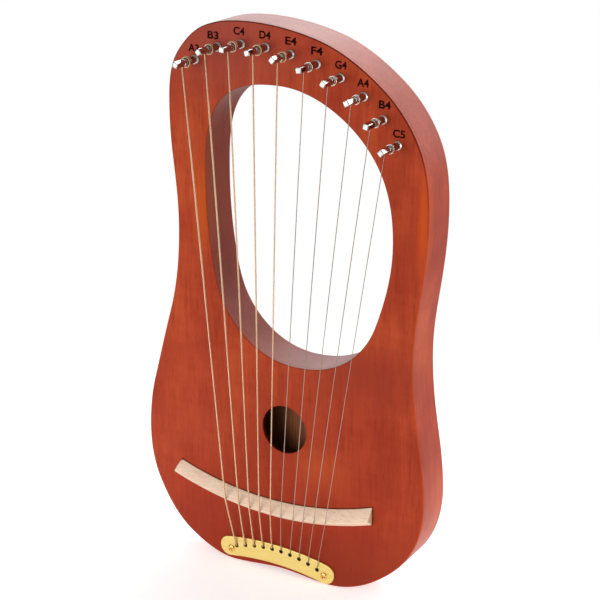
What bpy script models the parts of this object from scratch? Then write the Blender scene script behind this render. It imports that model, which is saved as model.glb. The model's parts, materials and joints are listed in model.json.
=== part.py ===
"""Ten-string lyre harp, modelled as an assembly of its real pieces.

Metres. +Z runs up the strings, the soundboard faces -Y and the long bass strings are at -X.
The origin is midway between the pin tips and the back, level with the two lobes that it stands on.
Depths are measured back from the soundboard's face, which the face_origin empty sets in place.
"""
import math

import bmesh
import bpy
from mathutils import Matrix, Vector

COLLECTION = "lyre_harp"
GAP = 0.0003
CUT_OVERRUN = 0.0010

# Body: a frame between a soundboard in front and a back plate behind
BODY_DEPTH = 0.030
PLATE_THICKNESS = 0.003
FRAME_FRONT = PLATE_THICKNESS + GAP
FRAME_BACK = BODY_DEPTH - PLATE_THICKNESS - GAP
SOUND_HOLE = (0.0022, 0.1054)
SOUND_HOLE_RADIUS = 0.0165

# Outlines as knots of x, z and heading in degrees, counter-clockwise seen from the front
BODY_OUTLINE = [
    (0.0360, 0.0000, 0), (0.0731, 0.0133, 36), (0.0956, 0.0368, 60), (0.1047, 0.0730, 90),
    (0.0990, 0.1220, 100), (0.0941, 0.1730, 90), (0.0972, 0.2080, 82), (0.1018, 0.2600, 90),
    (0.0938, 0.3082, 115), (0.0675, 0.3415, 141), (0.0225, 0.3660, 165), (-0.0240, 0.3723, 180),
    (-0.0580, 0.3665, 204), (-0.0760, 0.3505, 233), (-0.0844, 0.3145, 270), (-0.0824, 0.2800, 277),
    (-0.0786, 0.2340, 270), (-0.0866, 0.1720, 254), (-0.1000, 0.1220, 255), (-0.1047, 0.0840, 270),
    (-0.0974, 0.0470, 295), (-0.0702, 0.0122, 327), (-0.0370, 0.0000, 0), (0.0000, 0.0026, 0),
]
OPENING_OUTLINE = [
    (0.0106, 0.1510, 0), (0.0432, 0.1592, 31), (0.0676, 0.1902, 71), (0.0780, 0.2430, 90),
    (0.0687, 0.2884, 117), (0.0375, 0.3217, 148), (-0.0028, 0.3343, 180), (-0.0398, 0.3256, 215),
    (-0.0571, 0.2700, 270), (-0.0535, 0.2208, 279), (-0.0410, 0.1796, 303), (-0.0158, 0.1569, 334),
]
CHAMBER_FLOOR = 0.0125
CHAMBER_OUTLINE = [
    (-0.0480, CHAMBER_FLOOR, 0), (0.0440, CHAMBER_FLOOR, 0), (0.0850, 0.0410, 60),
    (0.0945, 0.0750, 90), (0.0880, 0.1280, 103), (0.0700, 0.1480, 180), (0.0100, 0.1400, 180),
    (-0.0560, 0.1570, 180), (-0.0800, 0.1460, 252), (-0.0948, 0.0840, 270), (-0.0850, 0.0430, 300),
]
OUTLINE_STEPS = 4
OPENING_STEPS = 5
ROUND_HOLE_STEPS = 4

# Inside the sound chamber
BRACE_HEIGHT = 0.008
BRACE_WIDTH = 0.006
BRACE_BEVEL = 0.001
BRACES = {"brace_upper": (-0.078, 0.080, 0.1310), "brace_lower": (-0.086, 0.084, 0.0780)}
TAIL_BLOCK_ENDS = (-0.046, 0.041)
TAIL_BLOCK_TOP = 0.030

# Tuning pins, bass to treble: note, x, z and the turn that each was left at, in degrees
PINS = [
    ("a3", -0.0640, 0.3446, 20), ("b3", -0.0470, 0.3544, 52), ("c4", -0.0300, 0.3577, 5),
    ("d4", -0.0121, 0.3575, 71), ("e4", 0.0054, 0.3550, 38), ("f4", 0.0238, 0.3509, 80),
    ("g4", 0.0403, 0.3444, 28), ("a4", 0.0563, 0.3348, 62), ("b4", 0.0695, 0.3223, 12),
    ("c5", 0.0797, 0.3077, 47),
]
PIN_PROUD = 0.0228
PIN_DEPTH = 0.0190
PIN_RADIUS = 0.0024
THREAD_RADIUS = 0.0028
THREAD_PROUD = 0.0018
PIN_TIP_RADIUS = 0.0019
PIN_FLAT_LENGTH = 0.0100
PIN_FLAT_HALF_WIDTH = 0.0019
PIN_FLAT_TAPER = math.radians(1.5)
PIN_CHAMFER = 0.0006
PIN_SIDES = 12
STRING_HOLE_RADIUS = 0.0009
STRING_HOLE_PROUD = 0.0087
FACE_Y = -(BODY_DEPTH - PIN_PROUD) / 2

# Strings, bass to treble: diameter, and where each crosses the bridge
STRING_DIAMETERS = [0.00115, 0.00110, 0.00105, 0.00100, 0.00090, 0.00055, 0.00055, 0.00050, 0.00050, 0.00045]
RIDGE_CROSSINGS = [-0.0394, -0.0288, -0.0206, -0.0128, -0.0042, 0.0039, 0.0133, 0.0209, 0.0290, 0.0376]
WOUND_DIAMETER = 0.0008
WRAP_PROUD = 0.0104
WRAP_TURN = math.radians(290)
WINDING_TURNS = 0.25
STEPS_PER_TURN = 12

# Bridge: a three-sided bar cut to an arc and glued to the soundboard, its right end sawn upright
BRIDGE_CENTRE = (-0.0047, 0.2655)
BRIDGE_UPPER_RADIUS = 0.2130
BRIDGE_RIDGE_RADIUS = 0.2203
BRIDGE_LOWER_RADIUS = 0.2247
BRIDGE_HEIGHT = 0.0069
BRIDGE_EDGE = 0.0007
BRIDGE_ANGLES = (math.radians(-20.4), math.radians(22))
BRIDGE_RIGHT_END = 0.0684
BRIDGE_STEPS = 24

# Tailpiece: a bent brass strap with round ends and ten string holes on a tighter arc
TAIL_CENTRE_X = -0.0027
TAIL_THICKNESS = 0.0015
TAIL_RADIUS = 0.190
TAIL_MIDDLE_Z = 0.0127
TAIL_HALF_LENGTH = 0.0375
TAIL_HALF_WIDTH = 0.0071
TAIL_TILT = math.radians(-1.4)
TAIL_HOLE_RADIUS = 0.0010
TAIL_HOLE_PITCH = 0.0070
TAIL_HOLE_ARC_RADIUS = 0.093
TAIL_HOLE_TOP_Z = 0.0163
TAIL_SCREWS = {"tailpiece_screw_left": (-0.0384, 0.0086), "tailpiece_screw_right": (0.0339, 0.0068)}
SCREW_RADIUS = 0.0013
SCREW_LENGTH = 0.016
SCREW_POINT_LENGTH = 0.003
SCREW_HEAD_RADIUS = 0.0026
SCREW_HEAD_HEIGHT = 0.0013
SCREW_SLOT_WIDTH = 0.0006
SCREW_SLOT_DEPTH = 0.0007
SCREW_SIDES = 16

# Ball ends sit in a groove under the tailpiece
BALL_RADIUS = 0.0018
BALL_LENGTH = 0.0034
GROOVE_HALF_WIDTH = 0.0024
GROOVE_FLOOR = 0.0047
GROOVE_OVERRUN = 0.0010

TO_FRONT = (math.radians(90), 0.0, 0.0)


def clear_scene():
    for obj in list(bpy.data.objects):
        bpy.data.objects.remove(obj, do_unlink=True)


def new_collection(name):
    collection = bpy.data.collections.new(name)
    bpy.context.scene.collection.children.link(collection)
    return collection


def principled(name, colour, roughness, metallic=0.0):
    material = bpy.data.materials.new(name)
    material.use_nodes = True
    shader = material.node_tree.nodes["Principled BSDF"]
    shader.inputs["Base Color"].default_value = (*colour, 1.0)
    shader.inputs["Roughness"].default_value = roughness
    shader.inputs["Metallic"].default_value = metallic
    return material


def add_object(name, data, collection, material=None):
    obj = bpy.data.objects.new(name, data)
    collection.objects.link(obj)
    if material:
        data.materials.clear()
        data.materials.append(material)
    return obj


# ---- Flat outlines ----

def handle_length(start, end, turn):
    """Length of a Bezier handle that makes the stretch follow a round arc."""
    chord = (end - start).length
    if turn < 1e-4:
        return chord / 3
    return chord * 2 / 3 * math.tan(turn / 4) / math.sin(turn / 2)


def add_heading_outline(curve, knots, steps):
    """Closed Bezier spline through knots of x, z and heading in degrees."""
    spline = curve.splines.new("BEZIER")
    spline.bezier_points.add(len(knots) - 1)
    spline.use_cyclic_u = True
    spline.resolution_u = steps
    places = [Vector((x, z, 0.0)) for x, z, _ in knots]
    headings = [math.radians(heading) for _, _, heading in knots]
    for index, point in enumerate(spline.bezier_points):
        before = index - 1
        after = (index + 1) % len(knots)
        direction = Vector((math.cos(headings[index]), math.sin(headings[index]), 0.0))
        turn_in = abs(math.remainder(headings[index] - headings[before], math.tau))
        turn_out = abs(math.remainder(headings[after] - headings[index], math.tau))
        point.handle_left_type = "FREE"
        point.handle_right_type = "FREE"
        point.co = places[index]
        point.handle_left = places[index] - direction * handle_length(places[before], places[index], turn_in)
        point.handle_right = places[index] + direction * handle_length(places[index], places[after], turn_out)


def add_circle(curve, x, z, radius, steps=ROUND_HOLE_STEPS):
    knots = [
        (x + radius, z, 90), (x, z + radius, 180), (x - radius, z, 270), (x, z - radius, 0),
    ]
    add_heading_outline(curve, knots, steps)


def add_tail_band(curve, middle_z, radius, half_length, half_width, end_steps=6, side_steps=10):
    """Closed outline of a band that arches over, with round ends, leaning with the tailpiece."""
    centre_x = TAIL_CENTRE_X
    centre_z = middle_z - radius
    half_angle = half_length / radius
    points = []
    for step in range(side_steps + 1):
        angle = math.pi / 2 - half_angle + 2 * half_angle * step / side_steps
        points.append((centre_x + (radius + half_width) * math.cos(angle),
                       centre_z + (radius + half_width) * math.sin(angle)))
    points += round_end(centre_x, centre_z, radius, half_width, math.pi / 2 + half_angle, end_steps, 1)
    for step in range(side_steps + 1):
        angle = math.pi / 2 + half_angle - 2 * half_angle * step / side_steps
        points.append((centre_x + (radius - half_width) * math.cos(angle),
                       centre_z + (radius - half_width) * math.sin(angle)))
    points += round_end(centre_x, centre_z, radius, half_width, math.pi / 2 - half_angle, end_steps, -1)
    spline = curve.splines.new("POLY")
    spline.points.add(len(points) - 1)
    spline.use_cyclic_u = True
    for point, place in zip(spline.points, points):
        point.co = (*leaning(*place), 0.0, 1.0)


def round_end(centre_x, centre_z, radius, half_width, angle, steps, side):
    """Inner points of a half circle at one end of an arc band."""
    end_x = centre_x + radius * math.cos(angle)
    end_z = centre_z + radius * math.sin(angle)
    first = angle if side > 0 else angle + math.pi
    points = []
    for step in range(1, steps):
        turn = first + math.pi * step / steps
        points.append((end_x + half_width * math.cos(turn), end_z + half_width * math.sin(turn)))
    return points


def new_flat_curve(name):
    curve = bpy.data.curves.new(name, "CURVE")
    curve.dimensions = "2D"
    curve.fill_mode = "BOTH"
    return curve


def place_flat(name, curve, front, back, collection, material=None):
    """Extrude a flat outline between two depths behind the soundboard's face."""
    curve.extrude = (back - front) / 2
    obj = add_object(name, curve, collection, material)
    obj.rotation_euler = TO_FRONT
    obj.location.y = (front + back) / 2
    return obj


def smooth(mesh):
    mesh.shade_smooth()
    mesh.set_sharp_from_angle(angle=math.radians(35))


def as_mesh(obj, material=None):
    """Replace a curve object, or an object with modifiers, by its welded mesh."""
    bpy.context.view_layer.update()
    depsgraph = bpy.context.evaluated_depsgraph_get()
    mesh = bpy.data.meshes.new_from_object(obj.evaluated_get(depsgraph))
    bm = bmesh.new()
    bm.from_mesh(mesh)
    bmesh.ops.remove_doubles(bm, verts=bm.verts, dist=1e-6)
    bmesh.ops.recalc_face_normals(bm, faces=bm.faces)
    bm.to_mesh(mesh)
    bm.free()
    smooth(mesh)
    name = obj.name
    collection = obj.users_collection[0]
    matrix = obj.matrix_world.copy()
    bpy.data.objects.remove(obj, do_unlink=True)
    solid = add_object(name, mesh, collection, material)
    solid.matrix_world = matrix
    return solid


def cut(obj, cutter):
    modifier = obj.modifiers.new("cut_" + cutter.name, "BOOLEAN")
    modifier.operation = "DIFFERENCE"
    modifier.object = cutter


def hide_cutter(obj):
    obj.hide_render = True
    obj.display_type = "WIRE"


# ---- Places worked out from the driving dimensions ----

def leaning(x, z):
    """A point laid out on the level tailpiece, moved to where its lean puts it."""
    across = x - TAIL_CENTRE_X
    upward = z - TAIL_MIDDLE_Z
    return (TAIL_CENTRE_X + across * math.cos(TAIL_TILT) - upward * math.sin(TAIL_TILT),
            TAIL_MIDDLE_Z + across * math.sin(TAIL_TILT) + upward * math.cos(TAIL_TILT))


def tail_hole(index):
    offset = (index - (len(PINS) - 1) / 2) * TAIL_HOLE_PITCH
    drop = TAIL_HOLE_ARC_RADIUS - math.sqrt(TAIL_HOLE_ARC_RADIUS ** 2 - offset ** 2)
    return leaning(TAIL_CENTRE_X + offset, TAIL_HOLE_TOP_Z - drop)


def ridge_height_at(x):
    centre_x, centre_z = BRIDGE_CENTRE
    return centre_z - math.sqrt(BRIDGE_RIDGE_RADIUS ** 2 - (x - centre_x) ** 2)


def wrap_radius(index):
    return PIN_RADIUS + GAP + STRING_DIAMETERS[index] / 2


def string_tangent_angle(index):
    """Angle round the pin at which the straight string meets its wrap, on the bass side."""
    _, pin_x, pin_z, _ = PINS[index]
    ridge_x = RIDGE_CROSSINGS[index]
    ridge_z = ridge_height_at(ridge_x)
    away = math.atan2(ridge_z - pin_z, ridge_x - pin_x)
    distance = math.hypot(ridge_x - pin_x, ridge_z - pin_z)
    return away - math.acos(wrap_radius(index) / distance)


# ---- Body ----

def build_soundboard(collection, material):
    curve = new_flat_curve("soundboard")
    add_heading_outline(curve, BODY_OUTLINE, OUTLINE_STEPS)
    add_heading_outline(curve, OPENING_OUTLINE, OPENING_STEPS)
    add_circle(curve, *SOUND_HOLE, SOUND_HOLE_RADIUS, steps=8)
    for _, x, z, _ in PINS:
        add_circle(curve, x, z, THREAD_RADIUS + GAP)
    for x, z in TAIL_SCREWS.values():
        add_circle(curve, x, z, SCREW_RADIUS + GAP, steps=3)
    add_groove(curve)
    return as_mesh(place_flat("soundboard", curve, 0.0, PLATE_THICKNESS, collection), material)


def build_back(collection, material):
    curve = new_flat_curve("back_plate")
    add_heading_outline(curve, BODY_OUTLINE, OUTLINE_STEPS)
    add_heading_outline(curve, OPENING_OUTLINE, OPENING_STEPS)
    back = place_flat("back_plate", curve, BODY_DEPTH - PLATE_THICKNESS, BODY_DEPTH, collection)
    return as_mesh(back, material)


def build_frame(collection, cutters, groove, material):
    curve = new_flat_curve("body_frame")
    add_heading_outline(curve, BODY_OUTLINE, OUTLINE_STEPS)
    add_heading_outline(curve, OPENING_OUTLINE, OPENING_STEPS)
    add_heading_outline(curve, CHAMBER_OUTLINE, OUTLINE_STEPS)
    frame = as_mesh(place_flat("body_frame", curve, FRAME_FRONT, FRAME_BACK, collection), material)
    pin_bores = new_flat_curve("pin_bores")
    for _, x, z, _ in PINS:
        add_circle(pin_bores, x, z, THREAD_RADIUS + GAP)
    screw_bores = new_flat_curve("screw_bores")
    for x, z in TAIL_SCREWS.values():
        add_circle(screw_bores, x, z, SCREW_RADIUS + GAP, steps=3)
    for bores, floor in ((pin_bores, PIN_DEPTH + GAP), (screw_bores, SCREW_LENGTH + GAP)):
        cutter = as_mesh(place_flat(bores.name, bores, FRAME_FRONT - CUT_OVERRUN, floor, cutters))
        hide_cutter(cutter)
        cut(frame, cutter)
    cut(frame, groove)
    return frame


def add_groove(curve):
    half_length = TAIL_HOLE_PITCH * (len(PINS) - 1) / 2 + GROOVE_OVERRUN
    add_tail_band(curve, TAIL_HOLE_TOP_Z, TAIL_HOLE_ARC_RADIUS, half_length, GROOVE_HALF_WIDTH,
                  end_steps=4, side_steps=8)


def build_groove_cutter(cutters):
    curve = new_flat_curve("ball_groove")
    add_groove(curve)
    cutter = as_mesh(place_flat("ball_groove", curve, FRAME_FRONT - CUT_OVERRUN, GROOVE_FLOOR, cutters))
    hide_cutter(cutter)
    return cutter


def box(name, low, high, collection, material):
    mesh = bpy.data.meshes.new(name)
    bm = bmesh.new()
    bmesh.ops.create_cube(bm, size=1.0)
    size = Vector(high) - Vector(low)
    bmesh.ops.scale(bm, vec=size, verts=bm.verts)
    bm.to_mesh(mesh)
    bm.free()
    obj = add_object(name, mesh, collection, material)
    obj.location = (Vector(low) + Vector(high)) / 2
    return obj


def build_braces(collection, material):
    for name, (left, right, height) in BRACES.items():
        low = (left, FRAME_FRONT, height - BRACE_WIDTH / 2)
        high = (right, FRAME_FRONT + BRACE_HEIGHT, height + BRACE_WIDTH / 2)
        brace = box(name, low, high, collection, material)
        bevel = brace.modifiers.new("eased_edges", "BEVEL")
        bevel.width = BRACE_BEVEL
        bevel.segments = 1


def build_tail_block(collection, groove, material):
    low = (TAIL_BLOCK_ENDS[0], FRAME_FRONT, CHAMBER_FLOOR + GAP)
    high = (TAIL_BLOCK_ENDS[1], FRAME_BACK, TAIL_BLOCK_TOP)
    block = box("tail_block", low, high, collection, material)
    cut(block, groove)


# ---- Bridge ----

def build_bridge(collection, cutters, material):
    middle = (BRIDGE_UPPER_RADIUS + BRIDGE_LOWER_RADIUS) / 2
    section_points = [
        (BRIDGE_UPPER_RADIUS - middle, 0.0), (BRIDGE_LOWER_RADIUS - middle, 0.0),
        (BRIDGE_LOWER_RADIUS - middle, BRIDGE_EDGE), (BRIDGE_RIDGE_RADIUS - middle, BRIDGE_HEIGHT),
        (BRIDGE_UPPER_RADIUS - middle, BRIDGE_EDGE),
    ]
    section = new_flat_curve("bridge_section")
    outline = section.splines.new("POLY")
    outline.points.add(len(section_points) - 1)
    outline.use_cyclic_u = True
    for point, (across, height) in zip(outline.points, section_points):
        point.co = (across, height, 0.0, 1.0)
    section_object = add_object("bridge_section", section, collection)
    sweep = bpy.data.curves.new("bridge", "CURVE")
    sweep.dimensions = "3D"
    sweep.twist_mode = "Z_UP"
    sweep.bevel_mode = "OBJECT"
    sweep.bevel_object = section_object
    sweep.use_fill_caps = True
    spline = sweep.splines.new("POLY")
    spline.points.add(BRIDGE_STEPS)
    first, last = BRIDGE_ANGLES
    for index, point in enumerate(spline.points):
        angle = first + (last - first) * index / BRIDGE_STEPS
        point.co = (middle * math.sin(angle), -middle * math.cos(angle), 0.0, 1.0)
    bridge = add_object("bridge", sweep, collection)
    bridge.rotation_euler = TO_FRONT
    bridge.location = (BRIDGE_CENTRE[0], -GAP, BRIDGE_CENTRE[1])
    solid = as_mesh(bridge, material)
    bpy.data.objects.remove(section_object, do_unlink=True)
    right_end = max((solid.matrix_world @ vert.co).x for vert in solid.data.vertices)
    foot = BRIDGE_CENTRE[1] - BRIDGE_LOWER_RADIUS
    low = (BRIDGE_RIGHT_END, -BRIDGE_HEIGHT - GAP - CUT_OVERRUN, foot)
    high = (right_end + CUT_OVERRUN, CUT_OVERRUN, foot + BRIDGE_LOWER_RADIUS / 5)
    saw = box("bridge_end_cut", low, high, cutters, None)
    hide_cutter(saw)
    cut(solid, saw)


# ---- Tailpiece, its screws and the ball ends ----

def build_tailpiece(collection, material):
    curve = new_flat_curve("tailpiece")
    add_tail_band(curve, TAIL_MIDDLE_Z, TAIL_RADIUS, TAIL_HALF_LENGTH, TAIL_HALF_WIDTH)
    for index in range(len(PINS)):
        add_circle(curve, *tail_hole(index), TAIL_HOLE_RADIUS, steps=2)
    for x, z in TAIL_SCREWS.values():
        add_circle(curve, x, z, SCREW_RADIUS + GAP, steps=3)
    return as_mesh(place_flat("tailpiece", curve, -TAIL_THICKNESS - GAP, -GAP, collection), material)


def turned(name, profile, sides, collection, material=None):
    """Solid of revolution about local +Z from points of radius and height, top to bottom."""
    mesh = bpy.data.meshes.new(name)
    bm = bmesh.new()
    verts = [bm.verts.new((radius, 0.0, height)) for radius, height in profile]
    for upper, lower in zip(verts, verts[1:]):
        bm.edges.new((upper, lower))
    bm.to_mesh(mesh)
    bm.free()
    obj = add_object(name, mesh, collection, material)
    screw = obj.modifiers.new("turn", "SCREW")
    screw.axis = "Z"
    screw.steps = sides
    screw.render_steps = sides
    screw.use_merge_vertices = True
    screw.merge_threshold = 1e-5
    obj.rotation_euler = TO_FRONT
    return obj


def build_screws(collection, cutters, material):
    under = TAIL_THICKNESS + 2 * GAP
    top = under + SCREW_HEAD_HEIGHT
    dome = [(SCREW_HEAD_RADIUS * math.sin(angle), under + SCREW_HEAD_HEIGHT * math.cos(angle))
            for angle in (math.radians(30 * step) for step in range(4))]
    shank = [(SCREW_RADIUS, under), (SCREW_RADIUS, SCREW_POINT_LENGTH - SCREW_LENGTH), (0.0, -SCREW_LENGTH)]
    for name, (x, z) in TAIL_SCREWS.items():
        screw = turned(name, dome + shank, SCREW_SIDES, collection, material)
        screw.location = (x, 0.0, z)
        half_slot = SCREW_SLOT_WIDTH / 2
        half_run = SCREW_HEAD_RADIUS + CUT_OVERRUN
        low = (x - half_run, -top - CUT_OVERRUN, z - half_slot)
        high = (x + half_run, -top + SCREW_SLOT_DEPTH, z + half_slot)
        slot = box(name + "_slot", low, high, cutters, None)
        hide_cutter(slot)
        cut(screw, slot)


def build_ball_ends(collection, material):
    mesh = bpy.data.meshes.new("ball_end")
    bm = bmesh.new()
    bmesh.ops.create_cone(bm, cap_ends=True, segments=12, radius1=BALL_RADIUS, radius2=BALL_RADIUS,
                          depth=BALL_LENGTH)
    bm.to_mesh(mesh)
    bm.free()
    for index, (note, _, _, _) in enumerate(PINS):
        x, z = tail_hole(index)
        ball = add_object("ball_end_" + note, mesh, collection, material)
        ball.rotation_euler = (0.0, math.radians(90), 0.0)
        ball.location = (x, GAP + BALL_RADIUS, z)


# ---- Tuning pins ----

def build_pin_mesh(cutters):
    """One pin: square tapered head, round shaft with a string hole, threaded root."""
    profile = [
        (0.0, PIN_PROUD), (PIN_TIP_RADIUS, PIN_PROUD), (PIN_RADIUS, PIN_PROUD - PIN_CHAMFER),
        (PIN_RADIUS, THREAD_PROUD), (THREAD_RADIUS, THREAD_PROUD - PIN_CHAMFER / 2),
        (THREAD_RADIUS, PIN_CHAMFER - PIN_DEPTH), (PIN_TIP_RADIUS, -PIN_DEPTH), (0.0, -PIN_DEPTH),
    ]
    pin = turned("pin_blank", profile, PIN_SIDES, cutters)
    flats = bpy.data.meshes.new("pin_flats")
    bm = bmesh.new()
    depth = PIN_RADIUS - PIN_FLAT_HALF_WIDTH + CUT_OVERRUN
    width = 2 * PIN_FLAT_HALF_WIDTH - PIN_CHAMFER
    for quarter in range(4):
        made = bmesh.ops.create_cube(bm, size=1.0)["verts"]
        bmesh.ops.scale(bm, vec=(depth, width, PIN_FLAT_LENGTH), verts=made)
        middle = PIN_PROUD + CUT_OVERRUN / 2 - PIN_FLAT_LENGTH / 2
        bmesh.ops.translate(bm, vec=(PIN_FLAT_HALF_WIDTH + depth / 2, 0.0, middle), verts=made)
        turn_about(bm, made, PIN_FLAT_TAPER, "Y", Vector((PIN_FLAT_HALF_WIDTH, 0.0, PIN_PROUD)))
        turn_about(bm, made, math.radians(90 * quarter), "Z", Vector())
    bm.to_mesh(flats)
    bm.free()
    flats_object = add_object("pin_flats", flats, cutters)
    flats_object.rotation_euler = TO_FRONT
    hide_cutter(flats_object)
    hole = bpy.data.meshes.new("string_hole")
    bm = bmesh.new()
    bmesh.ops.create_cone(bm, cap_ends=True, segments=8, radius1=STRING_HOLE_RADIUS,
                          radius2=STRING_HOLE_RADIUS, depth=4 * PIN_RADIUS)
    bm.to_mesh(hole)
    bm.free()
    hole_object = add_object("string_hole", hole, cutters)
    hole_object.rotation_euler = (0.0, math.radians(90), 0.0)
    hole_object.location.y = -STRING_HOLE_PROUD
    hide_cutter(hole_object)
    cut(pin, flats_object)
    cut(pin, hole_object)
    pin = as_mesh(pin)
    mesh = pin.data
    bpy.data.objects.remove(pin, do_unlink=True)
    mesh.name = "tuning_pin"
    return mesh


def turn_about(bm, verts, angle, axis, centre):
    bmesh.ops.rotate(bm, verts=verts, cent=centre, matrix=Matrix.Rotation(angle, 3, axis))


def winding_start(index):
    """Depth in front of the soundboard where the pin's own winding begins."""
    return WRAP_PROUD - STRING_DIAMETERS[index] - GAP


def build_pins(collection, cutters, material):
    mesh = build_pin_mesh(cutters)
    for note, x, z, turn in PINS:
        pin = add_object("tuning_pin_" + note, mesh, collection, material)
        pin.rotation_euler = (math.radians(90), math.radians(-turn), 0.0)
        pin.location = (x, 0.0, z)


# ---- Strings ----

def add_wire(name, points, diameter, collection, material):
    curve = bpy.data.curves.new(name, "CURVE")
    curve.dimensions = "3D"
    curve.bevel_depth = diameter / 2
    curve.bevel_resolution = 2
    curve.use_fill_caps = True
    spline = curve.splines.new("POLY")
    spline.points.add(len(points) - 1)
    for point, place in zip(spline.points, points):
        point.co = (*place, 1.0)
    return add_object(name, curve, collection, material)


def string_path(index):
    """From the ball end, through the tailpiece, over the bridge and round the pin."""
    radius = STRING_DIAMETERS[index] / 2
    _, pin_x, pin_z, _ = PINS[index]
    hole_x, hole_z = tail_hole(index)
    entry_z = hole_z + TAIL_HOLE_RADIUS - radius - GAP
    ridge_x = RIDGE_CROSSINGS[index]
    plate_top = TAIL_THICKNESS + GAP
    points = [
        Vector((hole_x, 0.0, entry_z)),
        Vector((hole_x, -plate_top - radius - GAP, entry_z)),
        Vector((ridge_x, -BRIDGE_HEIGHT - 2 * GAP - radius, ridge_height_at(ridge_x))),
    ]
    start = string_tangent_angle(index)
    steps = round(STEPS_PER_TURN * WRAP_TURN / math.tau)
    for step in range(steps + 1):
        angle = start - WRAP_TURN * step / steps
        points.append(Vector((
            pin_x + wrap_radius(index) * math.cos(angle), -WRAP_PROUD,
            pin_z + wrap_radius(index) * math.sin(angle))))
    return points


def build_strings(collection, wound, plain):
    for index, (note, pin_x, pin_z, _) in enumerate(PINS):
        origin = Vector((pin_x, 0.0, pin_z))
        points = [point - origin for point in string_path(index)]
        diameter = STRING_DIAMETERS[index]
        material = wound if diameter > WOUND_DIAMETER else plain
        string = add_wire("string_" + note, points, diameter, collection, material)
        string.location = origin


def winding_path(index, turn):
    """Helix on the pin from beside the string's wrap to the string hole, and into it."""
    diameter = STRING_DIAMETERS[index]
    radius = wrap_radius(index)
    hole_angle = math.radians(turn)
    first_depth = winding_start(index)
    steps = round(STEPS_PER_TURN * WINDING_TURNS)
    points = []
    for step in range(steps + 1):
        share = step / steps
        angle = hole_angle + math.tau * WINDING_TURNS * (1 - share)
        depth = first_depth + (STRING_HOLE_PROUD - first_depth) * share
        points.append(Vector((radius * math.cos(angle), -depth, radius * math.sin(angle))))
    inner = PIN_RADIUS - diameter
    points.append(Vector((inner * math.cos(hole_angle), -STRING_HOLE_PROUD, inner * math.sin(hole_angle))))
    return points


def build_windings(collection, wound, plain):
    for index, (note, x, z, turn) in enumerate(PINS):
        diameter = STRING_DIAMETERS[index]
        material = wound if diameter > WOUND_DIAMETER else plain
        winding = add_wire("winding_" + note, winding_path(index, turn), diameter, collection, material)
        winding.location = (x, 0.0, z)


def set_on_face(collections):
    """Hang every piece on an empty at the soundboard's face."""
    face_origin = bpy.data.objects.new("face_origin", None)
    face_origin.location.y = FACE_Y
    bpy.context.scene.collection.objects.link(face_origin)
    for collection in collections:
        for obj in collection.objects:
            obj.parent = face_origin


def main():
    clear_scene()
    parts = new_collection(COLLECTION)
    cutters = new_collection("cutters")
    mahogany = principled("mahogany", (0.40, 0.075, 0.04), 0.38)
    spruce = principled("spruce", (0.62, 0.45, 0.27), 0.6)
    maple = principled("maple", (0.80, 0.60, 0.42), 0.5)
    brass = principled("brass", (0.80, 0.62, 0.22), 0.3, 1.0)
    nickel = principled("nickel", (0.75, 0.74, 0.72), 0.2, 1.0)
    bronze = principled("bronze", (0.75, 0.48, 0.28), 0.35, 1.0)
    steel = principled("steel", (0.65, 0.65, 0.66), 0.25, 1.0)

    groove = build_groove_cutter(cutters)
    build_frame(parts, cutters, groove, mahogany)
    build_soundboard(parts, mahogany)
    build_back(parts, mahogany)
    build_braces(parts, spruce)
    build_tail_block(parts, groove, spruce)
    build_bridge(parts, cutters, maple)
    build_tailpiece(parts, brass)
    build_screws(parts, cutters, brass)
    build_ball_ends(parts, brass)
    build_pins(parts, cutters, nickel)
    build_strings(parts, bronze, steel)
    build_windings(parts, bronze, steel)
    set_on_face((parts, cutters))


main()
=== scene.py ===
"""Ten-string lyre harp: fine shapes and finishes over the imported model.

Metres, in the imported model's frame. +Z runs up the strings and the soundboard faces -Y.
Depths are measured back from the soundboard's face, and "proud" heights forward from it.
"""
import json
import math

import bmesh
import bpy
from mathutils import Matrix, Vector


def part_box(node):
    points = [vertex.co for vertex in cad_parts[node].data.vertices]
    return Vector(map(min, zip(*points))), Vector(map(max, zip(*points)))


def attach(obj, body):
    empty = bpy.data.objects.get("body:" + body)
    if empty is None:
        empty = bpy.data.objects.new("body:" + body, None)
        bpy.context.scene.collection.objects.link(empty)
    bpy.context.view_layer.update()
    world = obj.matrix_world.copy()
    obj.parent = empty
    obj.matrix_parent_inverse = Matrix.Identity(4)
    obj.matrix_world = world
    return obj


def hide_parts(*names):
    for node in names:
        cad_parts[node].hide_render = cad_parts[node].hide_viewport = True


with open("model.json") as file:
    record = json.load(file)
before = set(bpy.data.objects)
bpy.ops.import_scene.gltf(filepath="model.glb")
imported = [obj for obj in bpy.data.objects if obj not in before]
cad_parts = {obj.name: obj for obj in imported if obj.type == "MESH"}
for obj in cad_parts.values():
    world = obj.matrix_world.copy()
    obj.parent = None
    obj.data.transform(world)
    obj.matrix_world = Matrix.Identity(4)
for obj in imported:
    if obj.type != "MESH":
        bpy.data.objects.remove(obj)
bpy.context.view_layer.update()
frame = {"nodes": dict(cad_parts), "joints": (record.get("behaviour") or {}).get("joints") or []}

HARP = "harp"
NOTES = ["a3", "b3", "c4", "d4", "e4", "f4", "g4", "a4", "b4", "c5"]
FACE_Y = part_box("soundboard")[0].y
PINS = [Vector(joint["pos_m"]) for joint in frame["joints"]]

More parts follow.
